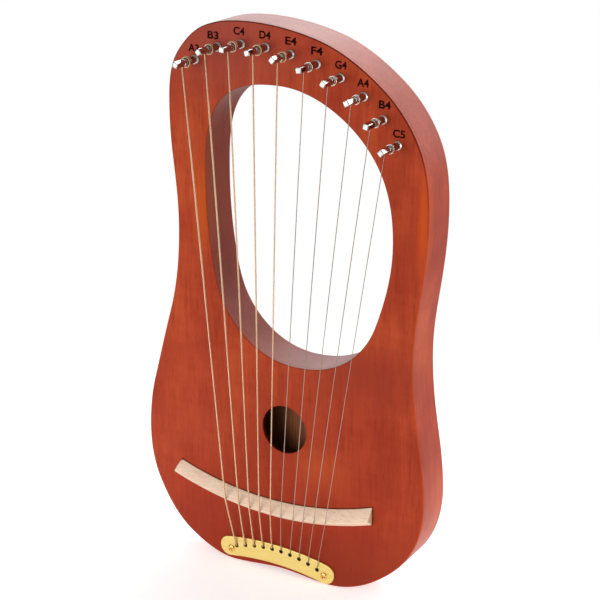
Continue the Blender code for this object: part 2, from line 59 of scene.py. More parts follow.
# Outlines as knots of x, z and heading in degrees, counter-clockwise seen from the front
BODY_OUTLINE = [
    (0.0360, 0.0000, 0), (0.0731, 0.0133, 36), (0.0956, 0.0368, 60), (0.1047, 0.0730, 90),
    (0.0990, 0.1220, 100), (0.0941, 0.1730, 90), (0.0972, 0.2080, 82), (0.1018, 0.2600, 90),
    (0.0938, 0.3082, 115), (0.0675, 0.3415, 141), (0.0225, 0.3660, 165), (-0.0240, 0.3723, 180),
    (-0.0580, 0.3665, 204), (-0.0760, 0.3505, 233), (-0.0844, 0.3145, 270), (-0.0824, 0.2800, 277),
    (-0.0786, 0.2340, 270), (-0.0866, 0.1720, 254), (-0.1000, 0.1220, 255), (-0.1047, 0.0840, 270),
    (-0.0974, 0.0470, 295), (-0.0702, 0.0122, 327), (-0.0370, 0.0000, 0), (0.0000, 0.0026, 0),
]
OPENING_OUTLINE = [
    (0.0106, 0.1510, 0), (0.0432, 0.1592, 31), (0.0676, 0.1902, 71), (0.0780, 0.2430, 90),
    (0.0687, 0.2884, 117), (0.0375, 0.3217, 148), (-0.0028, 0.3343, 180), (-0.0398, 0.3256, 215),
    (-0.0571, 0.2700, 270), (-0.0535, 0.2208, 279), (-0.0410, 0.1796, 303), (-0.0158, 0.1569, 334),
]
CHAMBER_FLOOR = 0.0125
CHAMBER_OUTLINE = [
    (-0.0480, CHAMBER_FLOOR, 0), (0.0440, CHAMBER_FLOOR, 0), (0.0850, 0.0410, 60),
    (0.0945, 0.0750, 90), (0.0880, 0.1280, 103), (0.0700, 0.1480, 180), (0.0100, 0.1400, 180),
    (-0.0560, 0.1570, 180), (-0.0800, 0.1460, 252), (-0.0948, 0.0840, 270), (-0.0850, 0.0430, 300),
]
SOUND_HOLE = (0.0022, 0.1054)
SOUND_HOLE_RADIUS = 0.0165
BODY_DEPTH = 0.030
PLATE_THICKNESS = 0.003
BODY_EDGE_RADIUS = 0.0009
OPENING_EDGE_RADIUS = 0.0006
SEAM_RADIUS = 0.00012
# A flat ring of faces beside each rounded edge keeps the shading of the flats level
EDGE_SUPPORT = 0.0004
SUPPORT_GAP = 0.0001
SOUND_HOLE_EDGE_RADII = (0.0004, 0.0002)
CUT_EDGE_RADIUS = 0.0001
NEARLY_STRAIGHT = 1e-4
OUTLINE_STEPS = 14
CIRCLE_STEPS = 32
SOUND_HOLE_STEPS = 96

# Share of painted shade: a dark line on the front edge, and darkening down the opening's wall and in the
# drilled holes.
# The front edge's painted shade fades out between two heights, and below them the edge is painted a brighter
# orange-red instead, a painted highlight, and made rougher.
EDGE_SHADE = 0.9
EDGE_SHADE_SPAN = (0.235, 0.305)
INNER_SHADE = 0.54
HOLE_SHADE = 1.0

# Tuning pins
PIN_TURNS = [20, 52, 5, 71, 38, 80, 28, 62, 12, 47]
PIN_PROUD = 0.0228
PIN_DEPTH = 0.0185
PIN_RADIUS = 0.0024
PIN_FLAT_LENGTH = 0.0100
PIN_SHOULDER = 0.0012
PIN_HEAD_HALF_WIDTH = 0.0018
PIN_HEAD_FLARE = 0.00015
PIN_PLATING_GAP = 0.00005
PIN_SIDES = 48
PIN_SHOULDER_STEPS = 5
# Share of the chamfer still to go, and share of the head's width there
PIN_CHAMFER = 0.0005
PIN_CHAMFER_RINGS = [(0.3, 0.93), (0.0, 0.78)]
THREAD_RADIUS = 0.0028
PIN_HOLE_RADIUS = 0.0029
THREAD_PROUD = 0.0018
THREAD_PITCH = 0.0006
THREAD_HEIGHT = 0.00025
THREAD_STEPS = 6
PIN_ROOT_HEIGHTS = [-PIN_DEPTH, -PIN_DEPTH + 0.001, -0.0005]
THREAD_END_HEIGHTS = [THREAD_PROUD + 0.0002, THREAD_PROUD + 0.0006]
NECK_GAP = 0.0003
HEAD_GAP = 0.0002
STRING_HOLE_PROUD = 0.0087

# Strings, bass to treble: diameter, and where each crosses the bridge
STRING_DIAMETERS = [0.00115, 0.00110, 0.00105, 0.00100, 0.00090, 0.00055, 0.00055, 0.00050, 0.00050, 0.00045]
RIDGE_CROSSINGS = [-0.0394, -0.0288, -0.0206, -0.0128, -0.0042, 0.0039, 0.0133, 0.0209, 0.0290, 0.0376]
WOUND_COUNT = 5
WRAP_PROUD = 0.0104
WRAP_TURN = math.radians(290)
WINDING_TURNS = 0.25
STEPS_PER_TURN = 40
WIRE_SIDES = 12
WRAP_WIRE_PITCH = 0.00022
STRING_BEND_RADIUS = 0.0008
CLEARANCE = 0.0001

# Bridge
BRIDGE_CENTRE = (-0.0047, 0.2655)
BRIDGE_UPPER_RADIUS = 0.2130
BRIDGE_RIDGE_RADIUS = 0.2203
BRIDGE_LOWER_RADIUS = 0.2247
BRIDGE_HEIGHT = 0.0069
BRIDGE_EDGE = 0.0007
BRIDGE_ANGLES = (math.radians(-20.4), math.radians(22))
BRIDGE_RIGHT_END = 0.0684
BRIDGE_CORNER = 0.0018
BRIDGE_BEVEL = 0.00025
BRIDGE_STEPS = 64
BRIDGE_CORNER_STEPS = 6
BRIDGE_SHARP_ANGLE = math.radians(25)
END_GRAIN_FACING = 0.95
# Painted shadow: a thin dark strip on the face along the bridge's upper edge and right end
SHADOW_LINE_WIDTH = 0.0005
SHADOW_LINE_UNDER = 0.0002
SHADOW_LINE_PROUD = 0.0001

# Tailpiece
TAIL_CENTRE_X = -0.0027
TAIL_THICKNESS = 0.0015
TAIL_EDGE_RADIUS = 0.0003
TAIL_RADIUS = 0.190
TAIL_MIDDLE_Z = 0.0127
TAIL_HALF_LENGTH = 0.0375
TAIL_HALF_WIDTH = 0.0071
TAIL_TILT = math.radians(-1.4)
TAIL_HOLE_RADIUS = 0.0010
TAIL_HOLE_PITCH = 0.0070
TAIL_HOLE_ARC_RADIUS = 0.093
TAIL_HOLE_TOP_Z = 0.0163
TAIL_SCREWS = {"left": (-0.0384, 0.0086, 35), "right": (0.0339, 0.0068, 78)}
SCREW_RADIUS = 0.0013
SCREW_LENGTH = 0.015
SCREW_HEAD_RADIUS = 0.0026
SCREW_HEAD_HEIGHT = 0.0013
SCREW_DOME_POWER = 0.8
SCREW_DOME_STEPS = 8
SCREW_CROWN_RADIUS = 0.0002
SCREW_POINT_LENGTH = 0.003
SCREW_POINT_RADIUS = 0.0001
SCREW_SIDES = 48
RECESS_RIM = 0.0002
RECESS_REACH = 0.62
RECESS_HALF_WIDTH = 0.00028
RECESS_DEPTH = 0.0007
GROOVE_HALF_WIDTH = 0.0023
GROOVE_HALF_LENGTH = 4.6 * TAIL_HOLE_PITCH

# Note names printed above the pins: text, x and z of the middle
LABELS = [
    ("A3", -0.0648, 0.3518), ("B3", -0.0503, 0.3613), ("C4", -0.0312, 0.3657), ("D4", -0.0126, 0.3651),
    ("E4", 0.0058, 0.3632), ("F4", 0.0239, 0.3590), ("G4", 0.0405, 0.3522), ("A4", 0.0556, 0.3430),
    ("B4", 0.0706, 0.3314), ("C5", 0.0804, 0.3149),
]
LABEL_HEIGHT = 0.0050
LABEL_WIDTH = 0.0081
LABEL_EXTRUDE = 0.004
LABEL_BOLDNESS = 0.028
LABEL_DEPTH_SCALE = 0.008

# Patches of colour on the face, among them painted shade and a painted sheen: strength, x and z of the
# centre, reach across, deep and upwards, colour
FACE_TINTS = [
    # Painted shade: the face darker towards the bottom
    (0.85, (0.0, -0.03), (0.22, 0.05, 0.20), (0.240, 0.018, 0.008)),
    # Painted sheen: a paler, lilac patch high on the left
    (0.7, (-0.045, 0.362), (0.085, 0.05, 0.060), (0.29, 0.060, 0.048)),
    # Darker below the opening's right side and low on the right, orange below the sound hole, and orange
    # bands beside the opening's left edge and along the right edge
    (0.7, (0.060, 0.156), (0.062, 0.02, 0.036), (0.24, 0.027, 0.016)),
    (0.55, (0.065, 0.008), (0.11, 0.05, 0.060), (0.20, 0.022, 0.011)),
    (0.35, (0.030, 0.082), (0.030, 0.02, 0.022), (0.50, 0.090, 0.022)),
    (0.7, (-0.0585, 0.255), (0.012, 0.05, 0.055), (0.530, 0.088, 0.010)),
    (0.8, (0.0985, 0.262), (0.0065, 0.012, 0.060), (0.560, 0.075, 0.010)),
]

# How bright the studio is in front of the harp, and behind it: upward direction and strength
ROOM_LIGHT = 0.25
WALL_LIGHTS = [(-0.40, 0.60), (-0.10, 0.90), (0.20, 3.3), (0.42, 3.3), (0.70, 1.9)]
WALL_SPAN = (0.3, 0.9)
FLOOR_RADIUS = 0.55
FLOOR_FADE = (0.25, 0.539)

# Softboxes: name, place, target, width and height, watts
HARP_MIDDLE = (0.0, 0.0, 0.19)
LIGHTS = [
    ("key_box", (-0.48, -1.70, 0.42), (0.0, 0.0, 0.21), (1.6, 1.3), 23.5),
    ("fill_box", (-0.72, -1.25, 0.0), HARP_MIDDLE, (0.5, 0.5), 0.45),
    ("side_box", (1.5, 0.0, 0.25), HARP_MIDDLE, (0.35, 0.9), 12.0),
    ("top_box", (-0.25, 1.3, 1.1), HARP_MIDDLE, (0.8, 0.6), 3.6),
]

# Camera
EYE = Vector((0.52108, -0.89748, 0.55973))
AIM = Vector((0.01338, -0.0036, 0.19795))
ROLL = math.radians(0.41)
LENS_MM = 102.675
SENSOR_MM = 36.0
CLIP_START = 0.05


# ---- Node helpers ----

def set_stops(ramp, stops):
    """Give a colour ramp its stops of position and colour."""
    elements = ramp.color_ramp.elements
    while len(elements) < len(stops):
        elements.new(0.5)
    for element, (position, colour) in zip(elements, stops):
        element.position = position
        element.color = (*colour, 1.0)


class Finish:
    """A material with its node tree, and short ways to add to it."""

    def __init__(self, name, roughness, metallic=0.0, **constants):
        self.material = bpy.data.materials.new(name)
        self.material.use_nodes = True
        self.tree = self.material.node_tree
        self.shader = self.tree.nodes["Principled BSDF"]
        self.shader.inputs["Roughness"].default_value = roughness
        self.shader.inputs["Metallic"].default_value = metallic
        for socket, value in constants.items():
            self.shader.inputs[socket.replace("_", " ")].default_value = value
        self.place = self.node("ShaderNodeTexCoord").outputs["Object"]

    def node(self, kind, **settings):
        made = self.tree.nodes.new(kind)
        for name, value in settings.items():
            setattr(made, name, value)
        return made

    def link(self, source, target):
        self.tree.links.new(source, target)

    def noise(self, stretch, detail=3.0, roughness=0.55, distortion=0.0):
        """Noise over the object's own coordinates, stretched along each axis."""
        mapping = self.node("ShaderNodeMapping")
        mapping.inputs["Scale"].default_value = stretch
        self.link(self.place, mapping.inputs["Vector"])
        made = self.node("ShaderNodeTexNoise")
        made.inputs["Scale"].default_value = 1.0
        made.inputs["Detail"].default_value = detail
        made.inputs["Roughness"].default_value = roughness
        made.inputs["Distortion"].default_value = distortion
        self.link(mapping.outputs["Vector"], made.inputs["Vector"])
        return made.outputs["Fac"]

    def ramp(self, source, stops):
        made = self.node("ShaderNodeValToRGB")
        set_stops(made, stops)
        self.link(source, made.inputs["Fac"])
        return made.outputs["Color"]

    def span(self, source, low, high, to_low=0.0, to_high=1.0):
        """Map a value from one span to another, clamped."""
        made = self.node("ShaderNodeMapRange", interpolation_type="SMOOTHSTEP")
        settings = (("From Min", low), ("From Max", high), ("To Min", to_low), ("To Max", to_high))
        for name, value in settings:
            made.inputs[name].default_value = value
        self.link(source, made.inputs["Value"])
        return made.outputs["Result"]

    def mix(self, factor, first, second, blend="MIX"):
        made = self.node("ShaderNodeMix", data_type="RGBA", blend_type=blend)
        for name, value in (("Factor", factor), ("A", first), ("B", second)):
            socket = made.inputs[name]
            if isinstance(value, (int, float)):
                socket.default_value = value
            elif isinstance(value, tuple):
                socket.default_value = (*value, 1.0)
            else:
                self.link(value, socket)
        return made.outputs["Result"]

    def math(self, operation, first, second=0.0):
        made = self.node("ShaderNodeMath", operation=operation)
        for socket, value in zip(made.inputs, (first, second)):
            if isinstance(value, (int, float)):
                socket.default_value = value
            else:
                self.link(value, socket)
        return made.outputs["Value"]

    def near(self, centre, radii):
        """1 at a centre, falling to 0 at the surface of an ellipsoid."""
        shifted = self.node("ShaderNodeVectorMath", operation="SUBTRACT")
        self.link(self.place, shifted.inputs[0])
        shifted.inputs[1].default_value = centre
        scaled = self.node("ShaderNodeVectorMath", operation="DIVIDE")
        self.link(shifted.outputs["Vector"], scaled.inputs[0])
        scaled.inputs[1].default_value = radii
        length = self.node("ShaderNodeVectorMath", operation="LENGTH")
        self.link(scaled.outputs["Vector"], length.inputs[0])
        return self.span(length.outputs["Value"], 0.0, 1.0, 1.0, 0.0)

    def colour(self, source):
        self.link(source, self.shader.inputs["Base Color"])

    def rough(self, source, low, high):
        self.link(self.span(source, 0.0, 1.0, low, high), self.shader.inputs["Roughness"])

    def bump(self, height, distance, strength=1.0):
        made = self.node("ShaderNodeBump")
        made.inputs["Strength"].default_value = strength
        made.inputs["Distance"].default_value = distance
        self.link(height, made.inputs["Height"])
        self.link(made.outputs["Normal"], self.shader.inputs["Normal"])


# ---- Finishes ----

def make_mahogany():
    """Red-brown stain over upright grain, under a satin lacquer, with painted shade, a painted sheen and a
    painted edge highlight mixed in.
    """
    wood = Finish("stained_mahogany", 0.40, Specular_IOR_Level=0.4, Specular_Tint=(0.9, 0.16, 0.06, 1.0))
    streaks = wood.noise((620, 620, 42), detail=5, roughness=0.7, distortion=0.3)
    figure = wood.noise((75, 75, 9), detail=4, roughness=0.6, distortion=1.2)
    clouds = wood.noise((21, 21, 14), detail=3)
    ripple = wood.noise((45, 45, 150), detail=2)
    pores = wood.noise((1900, 1900, 150), detail=1)
    tint = wood.ramp(clouds, [(0.30, (0.310, 0.034, 0.015)), (0.52, (0.385, 0.050, 0.019)),
                              (0.72, (0.460, 0.074, 0.023))])
    grain = wood.ramp(streaks, [(0.28, (0.72, 0.64, 0.61)), (0.50, (1.0, 1.0, 1.0)),
                                (0.75, (1.11, 1.19, 1.20))])
    colour = wood.mix(0.85, tint, grain, "MULTIPLY")
    bands = wood.ramp(figure, [(0.34, (0.84, 0.78, 0.78)), (0.62, (1.04, 1.05, 1.04))])
    colour = wood.mix(0.75, colour, bands, "MULTIPLY")
    cross = wood.ramp(ripple, [(0.35, (0.93, 0.91, 0.90)), (0.65, (1.05, 1.06, 1.06))])
    colour = wood.mix(0.7, colour, cross, "MULTIPLY")
    dots = wood.ramp(pores, [(0.30, (0.72, 0.64, 0.60)), (0.37, (1.0, 1.0, 1.0))])
    colour = wood.mix(0.7, colour, dots, "MULTIPLY")
    # Patches of colour on the face, among them painted shade low down and a painted sheen high on the left
    for strength, (x, z), reach, patch_colour in FACE_TINTS:
        share = wood.math("MULTIPLY", wood.near((x, FACE_Y, z), reach), strength)
        colour = wood.mix(share, colour, patch_colour)
    # Painted shade: a dark line on the front edge's roundover, and darkening down the opening's wall and in
    # the sound hole and pin holes
    painted_shade = wood.node("ShaderNodeAttribute", attribute_name="painted_shade").outputs["Fac"]
    colour = wood.mix(painted_shade, colour, (0.07, 0.007, 0.005))
    # Painted highlight: a brighter orange-red on the front edge's roundover low down, where the edge is also
    # made rougher
    painted_edge_light = wood.node("ShaderNodeAttribute", attribute_name="painted_edge_light").outputs["Fac"]
    wood.colour(wood.mix(wood.math("MULTIPLY", painted_edge_light, 0.7), colour, (0.440, 0.065, 0.018)))
    wood.link(wood.span(painted_edge_light, 0.0, 0.5, 0.41, 0.75), wood.shader.inputs["Roughness"])
    wood.bump(wood.math("ADD", wood.math("MULTIPLY", streaks, 0.5), pores), 0.00004, 0.6)
    return wood.material


def make_bare_wood(name, dark, light):
    """Unfinished wood with upright grain."""
    wood = Finish(name, 0.78)
    fibres = wood.noise((700, 700, 22), detail=5, roughness=0.6)
    clouds = wood.noise((35, 35, 20), detail=3)
    base = wood.ramp(fibres, [(0.32, dark), (0.68, light)])
    shade = wood.ramp(clouds, [(0.3, (0.78, 0.76, 0.74)), (0.7, (1.06, 1.06, 1.06))])
    wood.colour(wood.mix(0.8, base, shade, "MULTIPLY"))
    wood.bump(fibres, 0.0001, 0.7)
    return wood.material


def make_maple(name, dark, light):
    """Pale sanded maple with short flecks along the bar."""
    wood = Finish(name, 0.55)
    flecks = wood.noise((260, 900, 1500), detail=3, roughness=0.6)
    fibres = wood.noise((90, 600, 800), detail=4)
    clouds = wood.noise((60, 60, 60), detail=2)
    base = wood.ramp(fibres, [(0.30, dark), (0.70, light)])
    marks = wood.ramp(flecks, [(0.30, (0.72, 0.60, 0.52)), (0.42, (1.0, 1.0, 1.0))])
    shade = wood.ramp(clouds, [(0.3, (0.93, 0.90, 0.88)), (0.7, (1.03, 1.02, 1.02))])
    wood.colour(wood.mix(0.8, wood.mix(0.75, base, marks, "MULTIPLY"), shade, "MULTIPLY"))
    wood.rough(clouds, 0.50, 0.62)
    wood.bump(flecks, 0.00005, 0.6)
    return wood.material


def make_metal(name, dark, light, rough_low, rough_high, brush=(400, 400, 400)):
    """Plated metal with faint brushing and patchy polish."""
    metal = Finish(name, rough_high, 1.0)
    brushing = metal.noise(brush, detail=4, roughness=0.7)
    patches = metal.noise((120, 120, 120), detail=2)
    metal.colour(metal.ramp(brushing, [(0.3, dark), (0.7, light)]))
    metal.rough(patches, rough_low, rough_high)
    metal.bump(brushing, 0.00001, 0.4)
    return metal.material


def make_wound():
    """Bronze wire wound round a core: one ridge for each turn along the tube's own map, coloured with painted
    shade in the grooves and a painted highlight on the crests.
    """
    wire = Finish("bronze_wound", 0.42, 1.0)
    along = wire.node("ShaderNodeSeparateXYZ")
    wire.link(wire.node("ShaderNodeUVMap").outputs["UV"], along.inputs["Vector"])
    phase = wire.math("ADD", along.outputs["X"], along.outputs["Y"])
    ridge = wire.math("SINE", wire.math("MULTIPLY", phase, math.tau))
    height = wire.span(ridge, -1.0, 1.0)
    # Painted shade in the grooves between turns, painted highlight on their crests
    wire.colour(wire.ramp(height, [(0.0, (0.34, 0.19, 0.09)), (0.5, (0.84, 0.575, 0.36)),
                                   (1.0, (0.96, 0.74, 0.50))]))
    wire.bump(height, 0.00006, 0.7)
    return wire.material


def make_bridge_shadow():
    """Painted shadow along the bridge, matt and nearly black."""
    shadow_paint = Finish("painted_bridge_shadow", 0.9, Specular_IOR_Level=0.0)
    mottle = shadow_paint.noise((900, 900, 900), detail=2)
    shadow_paint.colour(shadow_paint.ramp(mottle, [(0.3, (0.030, 0.004, 0.003)), (0.7, (0.055, 0.008, 0.005))]))
    return shadow_paint.material


def make_ink():
    """Printed black, warmed by the wood under it."""
    ink = Finish("printed_ink", 0.8, Specular_IOR_Level=0.0)
    speckle = ink.noise((2500, 2500, 2500), detail=2)
    ink.colour(ink.ramp(speckle, [(0.3, (0.007, 0.002, 0.002)), (0.75, (0.022, 0.006, 0.006))]))
    return ink.material


MAHOGANY = make_mahogany()
RAW_MAHOGANY = make_bare_wood("mahogany_bare", (0.200, 0.055, 0.016), (0.400, 0.130, 0.040))
SPRUCE = make_bare_wood("spruce_bare", (0.45, 0.30, 0.16), (0.66, 0.49, 0.30))
MAPLE = make_maple("maple_bare", (0.800, 0.570, 0.395), (0.920, 0.720, 0.550))
MAPLE_END = make_maple("maple_end_grain", (0.480, 0.300, 0.170), (0.640, 0.430, 0.270))
BRASS = make_metal("pale_brass", (0.73, 0.55, 0.160), (0.84, 0.68, 0.255), 0.38, 0.48, (60, 1600, 1600))
SCREW_BRASS = make_metal("screw_brass", (0.74, 0.42, 0.12), (0.88, 0.58, 0.22), 0.16, 0.26)
# Painted shade: near-black brass for the walls of the tailpiece's drilled holes
SHADED_HOLE_BRASS = make_metal("brass_painted_hole_shade", (0.030, 0.020, 0.008), (0.070, 0.045, 0.018), 0.50, 0.65)
NICKEL = make_metal("bright_nickel", (0.44, 0.43, 0.42), (0.54, 0.53, 0.52), 0.05, 0.12)
# Painted highlight: a near-white copy of the pins' nickel, for the bright ring on their threads
THREAD_STEEL_LIT = make_metal("thread_steel_painted_highlight", (0.84, 0.84, 0.82), (0.95, 0.95, 0.93), 0.45, 0.60)
TIP_STEEL = make_metal("pin_tip_steel", (0.30, 0.30, 0.29), (0.62, 0.62, 0.60), 0.32, 0.48, (900, 900, 900))
# Painted reflection: plain steel darkened and warmed, as the wire looks with the wood reflected in it
STEEL = make_metal("plain_steel", (0.37, 0.295, 0.24), (0.43, 0.345, 0.285), 0.26, 0.36)
# Painted highlight: a brighter copy of the plain strings' steel, for their loops and coils on the pins
COIL_STEEL_LIT = make_metal("coil_steel_painted_highlight", (0.68, 0.66, 0.60), (0.84, 0.82, 0.75), 0.30, 0.42)
BRONZE = make_wound()
INK = make_ink()
BRIDGE_SHADOW = make_bridge_shadow()


# ---- Mesh helpers ----

def add_piece(name, mesh, materials, body, nodes=()):
    """Link a finished mesh, give it its materials and tie it to its body."""
    piece = bpy.data.objects.new(name, mesh)
    bpy.context.scene.collection.objects.link(piece)
    for material in materials:
        mesh.materials.append(material)
    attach(piece, body)
    if nodes:
        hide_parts(*nodes)
    return piece


def finish_mesh(name, bm, sharp=35):
    """Mesh with outward faces, smooth except where it turns by more than sharp degrees."""
    bmesh.ops.recalc_face_normals(bm, faces=bm.faces)
    mesh = bpy.data.meshes.new(name)
    bm.to_mesh(mesh)
    bm.free()
    mesh.shade_smooth()
    mesh.set_sharp_from_angle(angle=math.radians(sharp))
    return mesh


def handle_length(start, end, turn):
    """Length of a Bezier handle that makes the stretch follow a round arc."""
    chord = (end - start).length
    if turn < NEARLY_STRAIGHT:
        return chord / 3
    return chord * 2 / 3 * math.tan(turn / 4) / math.sin(turn / 2)


def heading_outline(knots, steps):
    """Points round a closed smooth outline through knots of x, z and heading."""
    places = [Vector((x, z)) for x, z, _ in knots]
    headings = [math.radians(heading) for _, _, heading in knots]
    points = []
    for index, start in enumerate(places):
        after = (index + 1) % len(knots)
        end = places[after]
        turn = abs(math.remainder(headings[after] - headings[index], math.tau))
        length = handle_length(start, end, turn)
        leave = start + length * Vector((math.cos(headings[index]), math.sin(headings[index])))
        arrive = end - length * Vector((math.cos(headings[after]), math.sin(headings[after])))
        for step in range(steps):
            t = step / steps
            u = 1 - t
            points.append(u ** 3 * start + 3 * u * u * t * leave + 3 * u * t * t * arrive
                          + t ** 3 * end)
    return points


def circle(x, z, radius, steps=CIRCLE_STEPS):
    angles = (math.tau * step / steps for step in range(steps))
    return [Vector((x + radius * math.cos(angle), z + radius * math.sin(angle))) for angle in angles]


def leaning(x, z):
    """A point laid out on the level tailpiece, moved to where its lean puts it."""
    across = x - TAIL_CENTRE_X
    upward = z - TAIL_MIDDLE_Z
    return Vector((TAIL_CENTRE_X + across * math.cos(TAIL_TILT) - upward * math.sin(TAIL_TILT),
                   TAIL_MIDDLE_Z + across * math.sin(TAIL_TILT) + upward * math.cos(TAIL_TILT)))


def tail_band(middle_z, radius, half_length, half_width, side_steps=40, end_steps=12):
    """Counter-clockwise outline of an arched band with round ends, leaning with the tailpiece."""
    centre = Vector((TAIL_CENTRE_X, middle_z - radius))
    half_angle = half_length / radius
    points = []
    for side in (1, -1):
        for step in range(side_steps):
            angle = math.pi / 2 - side * half_angle * (1 - 2 * step / side_steps)
            reach = radius + side * half_width
            points.append(centre + reach * Vector((math.cos(angle), math.sin(angle))))
        end_angle = math.pi / 2 + side * half_angle
        end = centre + radius * Vector((math.cos(end_angle), math.sin(end_angle)))
        first = end_angle if side > 0 else end_angle + math.pi
        for step in range(end_steps):
            turn = first + math.pi * step / end_steps
            points.append(end + half_width * Vector((math.cos(turn), math.sin(turn))))
    return [leaning(*point) for point in points]


def edge_profile(front, back, front_radius, back_radius, steps=5, edge=0.0, wall=0.0):
    """Inset, depth and painted shade down a wall, rounded over at its front and back edges."""
    profile = [(front_radius + EDGE_SUPPORT, front, 0.0)]
    for step in range(steps + 1):
        angle = math.pi / 2 * step / steps
        painted_shade = wall * step / steps + edge * math.sin(2 * angle)
        inset = front_radius * (1 - math.sin(angle))
        profile.append((inset, front + front_radius * (1 - math.cos(angle)), painted_shade))
    deepest = (back - front) / 2 - SUPPORT_GAP
    profile.append((0.0, front + min(front_radius + EDGE_SUPPORT, deepest), wall))
    profile.append((0.0, back - min(back_radius + EDGE_SUPPORT, deepest), wall))
    for step in range(steps + 1):
        angle = math.pi / 2 * (1 - step / steps)
        inset = back_radius * (1 - math.sin(angle))
        profile.append((inset, back - back_radius * (1 - math.cos(angle)), wall))
    profile.append((back_radius + EDGE_SUPPORT, back, 0.0))
    return profile


def edge_shade_share(z):
    """How much of the front edge's mark is painted shade at a height, 0 to 1; the rest of it is a painted
    highlight.
    """
    low, high = EDGE_SHADE_SPAN
    return min(1.0, max(0.0, (z - low) / (high - low)))


def add_wall(bm, points, hole, profile, material_index, shade_layer, edge_light_layer):
    """Rings of faces down one contour. Returns its front and back edge loops."""
    count = len(points)
    side = -1 if hole else 1
    rings = []
    outward = []
    for index in range(count):
        along = points[(index + 1) % count] - points[index - 1]
        outward.append(side * Vector((along.y, -along.x)).normalized())
    for inset, depth, painted_shade in profile:
        ring = []
        for point, normal in zip(points, outward):
            place = point - inset * normal
            vert = bm.verts.new((place.x, FACE_Y + depth, place.y))
            # On the outline the mark is painted shade high up and a painted highlight low down; the walls of
            # holes take only painted shade
            share = edge_shade_share(place.y)
            vert[shade_layer] = painted_shade if hole else painted_shade * share
            vert[edge_light_layer] = 0.0 if hole else painted_shade * (1 - share)
            ring.append(vert)
        rings.append(ring)
    for upper, lower in zip(rings, rings[1:]):
        for index in range(count):
            after = (index + 1) % count
            face = bm.faces.new((upper[index], upper[after], lower[after], lower[index]))
            face.material_index = material_index
    loops = []
    for ring in (rings[0], rings[-1]):
        loops.append([bm.edges.get((ring[index], ring[(index + 1) % count])) for index in range(count)])
    return loops


def plate(name, contours, front_index=0, back_index=0):
    """Solid between flat faces. Contours are points, hole or not, profile and material index."""
    bm = bmesh.new()
    # Vertex layers: painted shade, and the painted highlight on the lower front edge
    shade_layer = bm.verts.layers.float.new("painted_shade")
    edge_light_layer = bm.verts.layers.float.new("painted_edge_light")
    front_edges = []
    back_edges = []
    for points, hole, profile, material_index in contours:
        front_loop, back_loop = add_wall(bm, points, hole, profile, material_index, shade_layer, edge_light_layer)
        front_edges += front_loop
        back_edges += back_loop
    sides = ((front_edges, (0, -1, 0), front_index), (back_edges, (0, 1, 0), back_index))
    for edges, normal, material_index in sides:
        filled = bmesh.ops.triangle_fill(bm, use_beauty=True, edges=edges, normal=normal)
        for item in filled["geom"]:
            if isinstance(item, bmesh.types.BMFace):
                item.material_index = material_index
    return finish_mesh(name, bm)


# ---- Places worked out from the driving dimensions ----

def tail_hole(index):
    """Where a string leaves the tailpiece."""
    offset = (index - (len(PINS) - 1) / 2) * TAIL_HOLE_PITCH
    drop = TAIL_HOLE_ARC_RADIUS - math.sqrt(TAIL_HOLE_ARC_RADIUS ** 2 - offset ** 2)
    return leaning(TAIL_CENTRE_X + offset, TAIL_HOLE_TOP_Z - drop)


def ridge_height_at(x):
    centre_x, centre_z = BRIDGE_CENTRE
    return centre_z - math.sqrt(BRIDGE_RIDGE_RADIUS ** 2 - (x - centre_x) ** 2)


def wrap_radius(index):
    """Distance from the pin's axis to the middle of the string wrapped round it."""
    return PIN_RADIUS + CLEARANCE + STRING_DIAMETERS[index] / 2


# ---- Body ----

